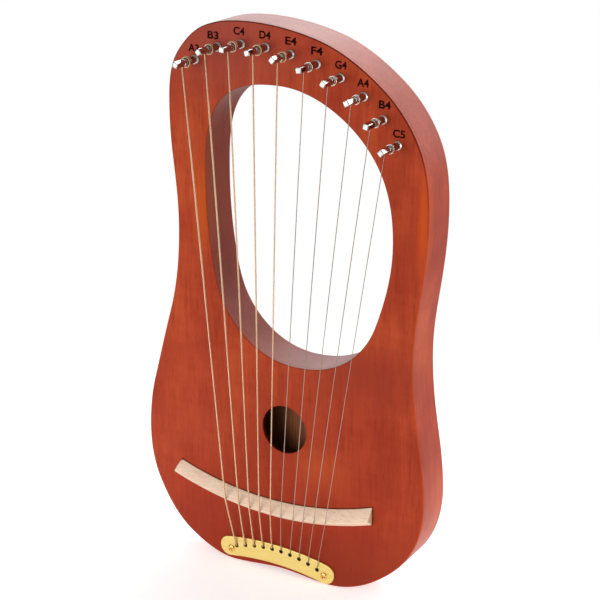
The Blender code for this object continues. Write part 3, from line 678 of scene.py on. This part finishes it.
def build_body():
    """Soundboard, rim and back plate, each hollowed by the opening or the chamber."""
    outline = heading_outline(BODY_OUTLINE, OUTLINE_STEPS)
    opening = heading_outline(OPENING_OUTLINE, OUTLINE_STEPS)
    chamber = heading_outline(CHAMBER_OUTLINE, OUTLINE_STEPS)
    sound_hole = circle(*SOUND_HOLE, SOUND_HOLE_RADIUS, SOUND_HOLE_STEPS)
    groove = tail_band(TAIL_HOLE_TOP_Z, TAIL_HOLE_ARC_RADIUS, GROOVE_HALF_LENGTH, GROOVE_HALF_WIDTH)
    wood = [MAHOGANY, RAW_MAHOGANY]

    board = 0.0, PLATE_THICKNESS
    contours = [
        # Painted shade on the front edge, down the opening's wall and in the sound hole
        (outline, False, edge_profile(*board, BODY_EDGE_RADIUS, SEAM_RADIUS, edge=EDGE_SHADE), 0),
        (opening, True, edge_profile(*board, OPENING_EDGE_RADIUS, SEAM_RADIUS, wall=INNER_SHADE), 0),
        (sound_hole, True, edge_profile(*board, *SOUND_HOLE_EDGE_RADII, wall=HOLE_SHADE), 0),
        (groove, True, edge_profile(*board, CUT_EDGE_RADIUS, CUT_EDGE_RADIUS), 1),
    ]
    # The pin holes' walls are darkened with painted shade
    dark_hole = edge_profile(*board, CUT_EDGE_RADIUS, CUT_EDGE_RADIUS, wall=HOLE_SHADE)
    for pin in PINS:
        contours.append((circle(pin.x, pin.z, PIN_HOLE_RADIUS), True, dark_hole, 0))
    mesh = plate("soundboard_shell", contours, 0, 1)
    add_piece("soundboard_shell", mesh, wood, HARP, ["soundboard"])

    rim = PLATE_THICKNESS, BODY_DEPTH - PLATE_THICKNESS
    seams = edge_profile(*rim, SEAM_RADIUS, SEAM_RADIUS)
    inner = edge_profile(*rim, SEAM_RADIUS, SEAM_RADIUS, wall=INNER_SHADE)
    contours = [(outline, False, seams, 0), (opening, True, inner, 0), (chamber, True, seams, 1)]
    for pin in PINS:
        contours.append((circle(pin.x, pin.z, PIN_HOLE_RADIUS), True, seams, 1))
    add_piece("rim_shell", plate("rim_shell", contours, 1, 1), wood, HARP, ["body_frame"])

    back = BODY_DEPTH - PLATE_THICKNESS, BODY_DEPTH
    contours = [
        (outline, False, edge_profile(*back, SEAM_RADIUS, BODY_EDGE_RADIUS), 0),
        (opening, True, edge_profile(*back, SEAM_RADIUS, OPENING_EDGE_RADIUS, wall=INNER_SHADE), 0),
    ]
    add_piece("back_shell", plate("back_shell", contours, 1, 0), wood, HARP, ["back_plate"])


def build_labels():
    """Thin printed letters, each pair fitted to the same width and height."""
    for text, x, z in LABELS:
        name = "label_" + text.lower()
        letters = bpy.data.curves.new(name, "FONT")
        letters.body = text
        letters.align_x = "CENTER"
        letters.align_y = "CENTER"
        letters.extrude = LABEL_EXTRUDE
        letters.offset = LABEL_BOLDNESS
        maker = bpy.data.objects.new("maker", letters)
        bpy.context.scene.collection.objects.link(maker)
        bpy.context.view_layer.update()
        evaluated = maker.evaluated_get(bpy.context.evaluated_depsgraph_get())
        mesh = bpy.data.meshes.new_from_object(evaluated)
        bpy.data.objects.remove(maker)
        low = Vector([min(vert.co[axis] for vert in mesh.vertices) for axis in range(3)])
        high = Vector([max(vert.co[axis] for vert in mesh.vertices) for axis in range(3)])
        middle = (low + high) / 2
        across = LABEL_WIDTH / (high.x - low.x)
        upward = LABEL_HEIGHT / (high.y - low.y)
        for vert in mesh.vertices:
            away = vert.co - middle
            vert.co = (x + away.x * across, FACE_Y - away.z * LABEL_DEPTH_SCALE, z + away.y * upward)
        mesh.name = name
        add_piece(name, mesh, [INK], HARP)


# ---- Bridge ----

def bridge_surface(radius):
    """Height of the bridge's roof at a distance from the arc's centre."""
    if radius < BRIDGE_RIDGE_RADIUS:
        share = (radius - BRIDGE_UPPER_RADIUS) / (BRIDGE_RIDGE_RADIUS - BRIDGE_UPPER_RADIUS)
    else:
        share = (BRIDGE_LOWER_RADIUS - radius) / (BRIDGE_LOWER_RADIUS - BRIDGE_RIDGE_RADIUS)
    return BRIDGE_EDGE + (BRIDGE_HEIGHT - BRIDGE_EDGE) * share


def build_bridge():
    """Three-sided bar along an arc, its left corners rounded and its right end cut upright."""
    bm = bmesh.new()
    first, last = (angle * BRIDGE_RIDGE_RADIUS for angle in BRIDGE_ANGLES)
    corner_turns = (math.pi / 2 * step / BRIDGE_CORNER_STEPS for step in range(BRIDGE_CORNER_STEPS))
    stations = [first + BRIDGE_CORNER * (1 - math.cos(turn)) for turn in corner_turns]
    inner = first + BRIDGE_CORNER
    stations += [inner + (last - inner) * step / BRIDGE_STEPS for step in range(BRIDGE_STEPS + 1)]
    rings = []
    centre_x, centre_z = BRIDGE_CENTRE
    for station in stations:
        into_corner = max(0.0, inner - station)
        inset = BRIDGE_CORNER - math.sqrt(max(0.0, BRIDGE_CORNER ** 2 - into_corner ** 2))
        upper = BRIDGE_UPPER_RADIUS + inset
        lower = BRIDGE_LOWER_RADIUS - inset
        section = [(upper, 0.0), (upper, bridge_surface(upper)), (BRIDGE_RIDGE_RADIUS, BRIDGE_HEIGHT - inset),
                   (lower, bridge_surface(lower)), (lower, 0.0)]
        angle = station / BRIDGE_RIDGE_RADIUS
        ring = []
        for radius, height in section:
            x = centre_x + radius * math.sin(angle)
            z = centre_z - radius * math.cos(angle)
            ring.append(bm.verts.new((x, FACE_Y - height, z)))
        rings.append(ring)
    skin(bm, rings)
    everything = bm.verts[:] + bm.edges[:] + bm.faces[:]
    bmesh.ops.bisect_plane(bm, geom=everything, clear_outer=True,
                           plane_co=(BRIDGE_RIGHT_END, 0.0, 0.0), plane_no=(1.0, 0.0, 0.0))
    bmesh.ops.holes_fill(bm, edges=[edge for edge in bm.edges if edge.is_boundary])
    bmesh.ops.recalc_face_normals(bm, faces=bm.faces)
    sharp = [edge for edge in bm.edges if edge.calc_face_angle(0) > BRIDGE_SHARP_ANGLE]
    bmesh.ops.bevel(bm, geom=sharp, offset=BRIDGE_BEVEL, offset_type="OFFSET", segments=2,
                    profile=0.5, affect="EDGES")
    mesh = finish_mesh("bridge_bar", bm, 40)
    for polygon in mesh.polygons:
        polygon.material_index = 1 if polygon.normal.x > END_GRAIN_FACING else 0
    add_piece("bridge_bar", mesh, [MAPLE, MAPLE_END], HARP, ["bridge"])


def build_bridge_shadow_line():
    """Thin dark strip of painted shadow along the bridge's upper edge and its right end."""
    low, high = BRIDGE_ANGLES
    centre_x, centre_z = BRIDGE_CENTRE
    right = math.asin((BRIDGE_RIGHT_END - centre_x) / BRIDGE_UPPER_RADIUS)
    bm = bmesh.new()
    rings = []
    for step in range(BRIDGE_STEPS + 1):
        angle = low + (right - low) * step / BRIDGE_STEPS
        rings.append([(centre_x + radius * math.sin(angle), centre_z - radius * math.cos(angle))
                      for radius in (BRIDGE_UPPER_RADIUS - SHADOW_LINE_WIDTH, BRIDGE_UPPER_RADIUS + SHADOW_LINE_UNDER)])
    foot = centre_z - math.sqrt(BRIDGE_LOWER_RADIUS ** 2 - (BRIDGE_RIGHT_END - centre_x) ** 2)
    outer_x = BRIDGE_RIGHT_END + SHADOW_LINE_WIDTH
    inner_x = BRIDGE_RIGHT_END - SHADOW_LINE_UNDER
    (_, outer_z), (_, inner_z) = rings[-1]
    rings[-1] = [(outer_x, outer_z), (inner_x, inner_z)]
    rings.append([(outer_x, foot), (inner_x, foot)])
    corners = [[bm.verts.new((x, FACE_Y - SHADOW_LINE_PROUD, z)) for x, z in ring] for ring in rings]
    for first, second in zip(corners, corners[1:]):
        bm.faces.new((first[0], first[1], second[1], second[0]))
    solid = bmesh.ops.extrude_face_region(bm, geom=bm.faces[:])
    pressed = [item for item in solid["geom"] if isinstance(item, bmesh.types.BMVert)]
    bmesh.ops.translate(bm, verts=pressed, vec=(0.0, SHADOW_LINE_PROUD, 0.0))
    bmesh.ops.recalc_face_normals(bm, faces=bm.faces)
    add_piece("bridge_shadow_line", finish_mesh("bridge_shadow_line", bm, 40), [BRIDGE_SHADOW], HARP)


# ---- Tailpiece and screws ----

def build_tailpiece():
    """Arched brass band with ten drilled holes and a screw at each end."""
    outline = tail_band(TAIL_MIDDLE_Z, TAIL_RADIUS, TAIL_HALF_LENGTH, TAIL_HALF_WIDTH)
    span = -TAIL_THICKNESS, 0.0
    contours = [(outline, False, edge_profile(*span, TAIL_EDGE_RADIUS, CUT_EDGE_RADIUS), 0)]
    hole_profile = edge_profile(*span, CUT_EDGE_RADIUS, CUT_EDGE_RADIUS, steps=3)
    for index in range(len(PINS)):
        # The holes' walls take the near-black brass, painted shade inside them
        contours.append((circle(*tail_hole(index), TAIL_HOLE_RADIUS), True, hole_profile, 1))
    mesh = plate("tail_plate", contours)
    add_piece("tail_plate", mesh, [BRASS, SHADED_HOLE_BRASS], HARP, ["tailpiece"])
    for side, (x, z, turn) in TAIL_SCREWS.items():
        build_screw(side, x, z, math.radians(turn))


def build_screw(side, x, z, turn):
    """Round-headed screw with a cross recess."""
    bm = bmesh.new()
    under = TAIL_THICKNESS
    profile = [(SCREW_CROWN_RADIUS, under + SCREW_HEAD_HEIGHT)]
    for step in range(1, SCREW_DOME_STEPS + 1):
        angle = math.radians(90 * step / SCREW_DOME_STEPS)
        radius = SCREW_HEAD_RADIUS * math.sin(angle) ** SCREW_DOME_POWER
        profile.append((radius, under + SCREW_HEAD_HEIGHT * math.cos(angle) ** SCREW_DOME_POWER))
    profile += [(SCREW_RADIUS, under), (SCREW_RADIUS, SCREW_POINT_LENGTH - SCREW_LENGTH),
                (SCREW_POINT_RADIUS, -SCREW_LENGTH)]
    turned(bm, profile, SCREW_SIDES)
    for vert in bm.verts:
        on_dome = vert.co.z > under + RECESS_RIM
        near_axis = math.hypot(vert.co.x, vert.co.y) < SCREW_HEAD_RADIUS * RECESS_REACH
        in_cross = min(abs(vert.co.x), abs(vert.co.y)) < RECESS_HALF_WIDTH
        if on_dome and near_axis and in_cross:
            vert.co.z -= RECESS_DEPTH
    place_on_face(bm, x, z, turn)
    name = "round_screw_" + side
    add_piece(name, finish_mesh(name, bm, 40), [SCREW_BRASS], HARP, ["tailpiece_screw_" + side])


def turned(bm, profile, sides):
    """Skin of revolution about +Z from points of radius and height, capped at both ends."""
    rings = []
    for radius, height in profile:
        ring = []
        for side in range(sides):
            angle = math.tau * side / sides
            ring.append(bm.verts.new((radius * math.cos(angle), radius * math.sin(angle), height)))
        rings.append(ring)
    skin(bm, rings)


def skin(bm, rings):
    """Faces between rings of vertices, capped at both ends."""
    sides = len(rings[0])
    for upper, lower in zip(rings, rings[1:]):
        for index in range(sides):
            after = (index + 1) % sides
            bm.faces.new((upper[index], upper[after], lower[after], lower[index]))
    bm.faces.new(rings[0])
    bm.faces.new(rings[-1])


def place_on_face(bm, x, z, turn):
    """Turn local +Z to the front, clockwise by turn, and move it to a point on the face."""
    matrix = Matrix.Translation((x, FACE_Y, z)) @ Matrix.Rotation(math.radians(90), 4, "X")
    matrix = matrix @ Matrix.Rotation(turn, 4, "Z")
    bmesh.ops.transform(bm, matrix=matrix, verts=bm.verts)


# ---- Tuning pins ----

def pin_reach(height, angle):
    """Distance from the pin's axis to its surface."""
    if height < THREAD_PROUD:
        turn = max(0.0, height) / THREAD_PITCH - angle / math.tau
        ridge = abs(2 * (turn % 1.0) - 1)
        return THREAD_RADIUS - THREAD_HEIGHT * (1 - ridge)
    flat_start = PIN_PROUD - PIN_FLAT_LENGTH
    if height < flat_start:
        return PIN_RADIUS - PIN_PLATING_GAP
    share = min(1.0, (height - flat_start) / PIN_SHOULDER)
    taper = (height - flat_start) / PIN_FLAT_LENGTH
    half_width = PIN_RADIUS + (PIN_HEAD_HALF_WIDTH + PIN_HEAD_FLARE * (1 - taper) - PIN_RADIUS) * share
    quarter = abs(math.remainder(angle, math.pi / 2))
    square = half_width / math.cos(quarter)
    return min(square, PIN_RADIUS - PIN_PLATING_GAP)


def build_pin(note, pin, turn):
    """Threaded root, round neck with the string hole, and a tapered square head."""
    bm = bmesh.new()
    steps = round(THREAD_PROUD / THREAD_PITCH * THREAD_STEPS)
    thread = [THREAD_PROUD * step / steps for step in range(steps)]
    shoulder = PIN_PROUD - PIN_FLAT_LENGTH
    heights = PIN_ROOT_HEIGHTS + thread + THREAD_END_HEIGHTS + [shoulder - NECK_GAP]
    heights += [shoulder + PIN_SHOULDER * step / PIN_SHOULDER_STEPS for step in range(PIN_SHOULDER_STEPS + 1)]
    chamfer_start = PIN_PROUD - PIN_CHAMFER
    heights += [shoulder + PIN_SHOULDER + HEAD_GAP, chamfer_start - HEAD_GAP, chamfer_start]
    rings = [pin_ring(bm, height, 1.0) for height in heights]
    for depth, share in PIN_CHAMFER_RINGS:
        rings.append(pin_ring(bm, PIN_PROUD - PIN_CHAMFER * depth, share))
    skin(bm, rings)
    place_on_face(bm, pin.x, pin.z, -math.radians(turn))
    name = "pin_" + note
    mesh = finish_mesh(name, bm, 18)
    # The thread takes the near-white steel, a painted highlight; the chamfer and end take a darker, mottled
    # steel
    for polygon in mesh.polygons:
        proud = FACE_Y - polygon.center.y
        polygon.material_index = 1 if proud < THREAD_PROUD else 2 if proud > chamfer_start else 0
    materials = [NICKEL, THREAD_STEEL_LIT, TIP_STEEL]
    add_piece(name, mesh, materials, "tuner_" + note, ["tuning_pin_" + note])


def pin_ring(bm, height, share):
    """Vertices round the pin at a height, drawn in to a share of its reach."""
    ring = []
    for side in range(PIN_SIDES):
        angle = math.tau * side / PIN_SIDES
        reach = share * pin_reach(height, angle)
        ring.append(bm.verts.new((reach * math.cos(angle), reach * math.sin(angle), height)))
    return ring


# ---- Strings ----

def add_tube(name, points, diameter, materials, body, nodes):
    """Round wire along points, mapped so that one unit along its map is one turn of its wrap."""
    bm = bmesh.new()
    uv = bm.loops.layers.uv.new("UVMap")
    across = (points[1] - points[0]).orthogonal().normalized()
    rings = []
    travelled = [0.0]
    for first, second in zip(points, points[1:]):
        travelled.append(travelled[-1] + (second - first).length / WRAP_WIRE_PITCH)
    for index, point in enumerate(points):
        ahead = points[min(index + 1, len(points) - 1)]
        behind = points[max(index - 1, 0)]
        along = (ahead - behind).normalized()
        across = (across - along * across.dot(along)).normalized()
        beside = along.cross(across)
        ring = []
        for side in range(WIRE_SIDES):
            angle = math.tau * side / WIRE_SIDES
            outward = math.cos(angle) * across + math.sin(angle) * beside
            ring.append(bm.verts.new(point + diameter / 2 * outward))
        rings.append(ring)
    for index, (first, second) in enumerate(zip(rings, rings[1:])):
        for side in range(WIRE_SIDES):
            after = (side + 1) % WIRE_SIDES
            face = bm.faces.new((first[side], first[after], second[after], second[side]))
            corners = ((index, side), (index, side + 1), (index + 1, side + 1), (index + 1, side))
            for loop, (station, turn) in zip(face.loops, corners):
                loop[uv].uv = (travelled[station], turn / WIRE_SIDES)
    bm.faces.new(rings[0])
    bm.faces.new(rings[-1])
    return add_piece(name, finish_mesh(name, bm, 60), materials, body, nodes)


def rounded(points, radius, steps=5):
    """Replace each inner corner of a path by a short smooth bend."""
    path = [points[0]]
    for before, corner, after in zip(points, points[1:], points[2:]):
        reach = min(radius, (corner - before).length / 2, (after - corner).length / 2)
        start = corner + (before - corner).normalized() * reach
        end = corner + (after - corner).normalized() * reach
        for step in range(steps + 1):
            t = step / steps
            path.append((1 - t) ** 2 * start + 2 * (1 - t) * t * corner + t * t * end)
    path.append(points[-1])
    return path


def string_path(index):
    """From the ball end, through the tailpiece, over the bridge and round the pin."""
    radius = STRING_DIAMETERS[index] / 2
    pin = PINS[index]
    hole_x, hole_z = tail_hole(index)
    entry_z = hole_z + TAIL_HOLE_RADIUS - radius - CLEARANCE
    ridge_x = RIDGE_CROSSINGS[index]
    ridge_z = ridge_height_at(ridge_x)
    distance = math.hypot(ridge_x - pin.x, ridge_z - pin.z)
    start = math.atan2(ridge_z - pin.z, ridge_x - pin.x) - math.acos(wrap_radius(index) / distance)
    turns = [
        Vector((hole_x, FACE_Y, entry_z)),
        Vector((hole_x, FACE_Y - TAIL_THICKNESS - radius, entry_z)),
        Vector((ridge_x, FACE_Y - BRIDGE_HEIGHT - radius, ridge_z)),
    ]
    wrap = []
    steps = round(STEPS_PER_TURN * WRAP_TURN / math.tau)
    for step in range(steps + 1):
        angle = start - WRAP_TURN * step / steps
        wrap.append(Vector((pin.x + wrap_radius(index) * math.cos(angle), FACE_Y - WRAP_PROUD,
                            pin.z + wrap_radius(index) * math.sin(angle))))
    return rounded(turns + wrap[:1], STRING_BEND_RADIUS) + wrap[1:]


def winding_path(index):
    """Helix on the pin from beside the string's wrap to the string hole, and into it."""
    pin = PINS[index]
    diameter = STRING_DIAMETERS[index]
    radius = wrap_radius(index)
    hole_angle = math.radians(PIN_TURNS[index])
    first = WRAP_PROUD - diameter - CLEARANCE
    steps = round(STEPS_PER_TURN * WINDING_TURNS)
    points = []
    for step in range(steps + 1):
        share = step / steps
        angle = hole_angle + math.tau * WINDING_TURNS * (1 - share)
        proud = first + (STRING_HOLE_PROUD - first) * share
        points.append(Vector((pin.x + radius * math.cos(angle), FACE_Y - proud,
                              pin.z + radius * math.sin(angle))))
    inner = PIN_RADIUS - diameter
    points.append(Vector((pin.x + inner * math.cos(hole_angle), FACE_Y - STRING_HOLE_PROUD,
                          pin.z + inner * math.sin(hole_angle))))
    return points


def build_strings():
    """Each string with its loop round the pin, and the coil that turns with the pin."""
    for index, note in enumerate(NOTES):
        if index < WOUND_COUNT:
            materials, slot = [BRONZE, BRONZE], "bronze_string"
        else:
            # Plain strings: darkened, warmed steel as painted reflection, and a brighter copy as painted
            # highlight where they loop the pin
            materials, slot = [STEEL, COIL_STEEL_LIT], "steel_string"
        diameter = STRING_DIAMETERS[index]
        wire = add_tube("wire_" + note, string_path(index), diameter, materials, HARP,
                        ["string_" + note])
        coil_back = FACE_Y - WRAP_PROUD + diameter
        reach = PIN_RADIUS + 2 * diameter
        for polygon in wire.data.polygons:
            x, y, z = polygon.center
            on_pin = y < coil_back and math.hypot(x - PINS[index].x, z - PINS[index].z) < reach
            polygon.material_index = 1 if on_pin else 0
        add_tube("coil_" + note, winding_path(index), diameter, materials[1:], "tuner_" + note,
                 ["winding_" + note])


def finish_cad_nodes():
    """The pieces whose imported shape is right, given their finish."""
    finishes = {"brace_upper": SPRUCE, "brace_lower": SPRUCE, "tail_block": SPRUCE}
    finishes.update({"ball_end_" + note: BRASS for note in NOTES})
    for node, material in finishes.items():
        mesh = frame["nodes"][node].data
        mesh.materials.clear()
        mesh.materials.append(material)


# ---- Studio ----

def add_light(name, place, target, size, power):
    """Softbox that faces its target and isn't seen itself."""
    data = bpy.data.lights.new(name, "AREA")
    data.shape = "RECTANGLE"
    data.size, data.size_y = size
    data.energy = power
    light = bpy.data.objects.new(name, data)
    light.location = place
    light.rotation_euler = (Vector(target) - Vector(place)).to_track_quat("-Z", "Y").to_euler()
    light.visible_camera = False
    bpy.context.scene.collection.objects.link(light)


def make_floor_paint():
    """Pale paint that fades out towards the floor's rim."""
    paint = Finish("floor_white", 0.9, Specular_IOR_Level=0.1)
    paint.shader.inputs["Base Color"].default_value = (0.93, 0.93, 0.93, 1.0)
    paint.shader.inputs["Emission Color"].default_value = (1.0, 1.0, 1.0, 1.0)
    paint.shader.inputs["Emission Strength"].default_value = 0.48
    length = paint.node("ShaderNodeVectorMath", operation="LENGTH")
    paint.link(paint.place, length.inputs[0])
    fade = paint.span(length.outputs["Value"], *FLOOR_FADE, 1.0, 0.0)
    paint.link(fade, paint.shader.inputs["Alpha"])
    return paint.material


def build_world():
    """White to the camera. To the harp, a bright wall behind it and a dim room in front."""
    world = bpy.data.worlds.new("studio_room")
    world.use_nodes = True
    tree = world.node_tree
    background = tree.nodes["Background"]
    direction = tree.nodes.new("ShaderNodeTexCoord")
    axes = tree.nodes.new("ShaderNodeSeparateXYZ")
    tree.links.new(direction.outputs["Generated"], axes.inputs["Vector"])
    upward = tree.nodes.new("ShaderNodeMapRange")
    upward.inputs["From Min"].default_value = -1.0
    tree.links.new(axes.outputs["Z"], upward.inputs["Value"])
    bands = tree.nodes.new("ShaderNodeValToRGB")
    set_stops(bands, [((direction_z + 1) / 2, (light, light, light)) for direction_z, light in WALL_LIGHTS])
    tree.links.new(upward.outputs["Result"], bands.inputs["Fac"])
    wall = tree.nodes.new("ShaderNodeMapRange")
    wall.inputs["From Min"].default_value, wall.inputs["From Max"].default_value = WALL_SPAN
    wall.inputs["To Min"].default_value = ROOM_LIGHT
    tree.links.new(axes.outputs["Y"], wall.inputs["Value"])
    tree.links.new(bands.outputs["Color"], wall.inputs["To Max"])
    seen = tree.nodes.new("ShaderNodeLightPath")
    strength = tree.nodes.new("ShaderNodeMix")
    tree.links.new(seen.outputs["Is Camera Ray"], strength.inputs["Factor"])
    tree.links.new(wall.outputs["Result"], strength.inputs["A"])
    strength.inputs["B"].default_value = 1.0
    tree.links.new(strength.outputs["Result"], background.inputs["Strength"])
    background.inputs["Color"].default_value = (1.0, 1.0, 1.0, 1.0)
    bpy.context.scene.world = world


def build_studio():
    """Pale round floor, world light and softboxes."""
    floor_mesh = bpy.data.meshes.new("studio_floor")
    bm = bmesh.new()
    bmesh.ops.create_circle(bm, cap_ends=True, segments=96, radius=FLOOR_RADIUS)
    bm.to_mesh(floor_mesh)
    bm.free()
    floor = bpy.data.objects.new("studio_floor", floor_mesh)
    bpy.context.scene.collection.objects.link(floor)
    floor_mesh.materials.append(make_floor_paint())

    build_world()
    for light in LIGHTS:
        add_light(*light)

    scene = bpy.context.scene
    scene.view_settings.view_transform = "Standard"
    scene.view_settings.look = "None"


def build_camera():
    """A long lens with the small roll of a hand-held frame."""
    data = bpy.data.cameras.new("camera")
    data.sensor_width = SENSOR_MM
    data.lens = LENS_MM
    data.clip_start = CLIP_START
    camera = bpy.data.objects.new("camera", data)
    look = (AIM - EYE).to_track_quat("-Z", "Y").to_matrix().to_4x4()
    camera.matrix_world = Matrix.Translation(EYE) @ look @ Matrix.Rotation(ROLL, 4, "Z")
    bpy.context.scene.collection.objects.link(camera)
    bpy.context.scene.camera = camera


build_camera()
build_body()
build_labels()
build_bridge()
build_bridge_shadow_line()
build_tailpiece()
for note, pin, turn in zip(NOTES, PINS, PIN_TURNS):
    build_pin(note, pin, turn)
build_strings()
finish_cad_nodes()
build_studio()
